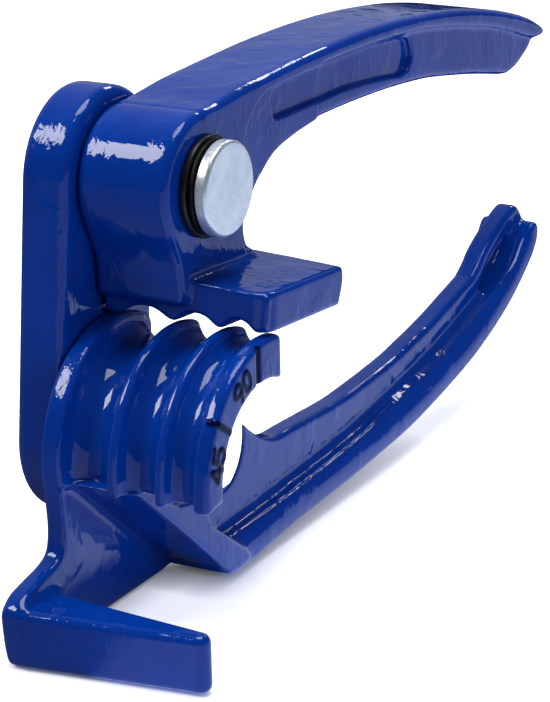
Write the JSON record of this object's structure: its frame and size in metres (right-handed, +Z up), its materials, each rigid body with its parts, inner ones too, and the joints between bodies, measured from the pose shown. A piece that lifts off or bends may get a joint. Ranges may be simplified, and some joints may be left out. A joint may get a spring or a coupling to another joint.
{
  "type": "manual tube bender",
  "caption": "Hand tube bender: grooved former casting with hook and handle, swing link, and a handle with a grooved shoe, turning on headed pins; shown closed at the ninety-degree mark.",
  "frame": {"origin": "Middle of the underside of the bounding box, on the plane the hook stands on.", "axes": "+X from the hook towards the handle ends, +Z up through the upper pivot, -Y the side of the pin head and degree face; both pivots lie along Y."},
  "size_m": [0.207, 0.053, 0.1023],
  "materials": {
    "enamel": "gloss ultramarine enamel over cast metal, slight orange peel",
    "zinc": "bright zinc plate, fine scratches",
    "black_washer": "black washer, satin",
    "spring_steel": "phosphated spring steel",
    "bronze": "sintered bronze",
    "nylon": "natural nylon"
  },
  "bodies": {
    "frame": {"lower_casting": "enamel", "lower_bush": "bronze"},
    "link": {"link_plate": "enamel", "upper_pin": "zinc", "upper_pin_washer": "black_washer", "upper_wave_washer": "spring_steel", "top_thrust_washer": "nylon", "top_back_washer": "zinc", "top_retaining_ring": "spring_steel", "lower_pin": "zinc", "lower_pin_washer": "zinc", "low_thrust_washer": "nylon", "low_back_washer": "zinc", "low_retaining_ring": "spring_steel"},
    "handle": {"upper_casting": "enamel", "upper_bush": "bronze"}
  },
  "joints": [
    {"name": "link_swing", "type": "hinge", "parent": "frame", "child": "link", "pos_m": [-0.0633, 0.0154, 0.0342], "axis": [0, 1, 0], "range_deg": [-100, 0]},
    {"name": "handle_hinge", "type": "hinge", "parent": "link", "child": "handle", "pos_m": [-0.0568, 0.0154, 0.085], "axis": [0, 1, 0], "range_deg": [-95, 0]}
  ]
}
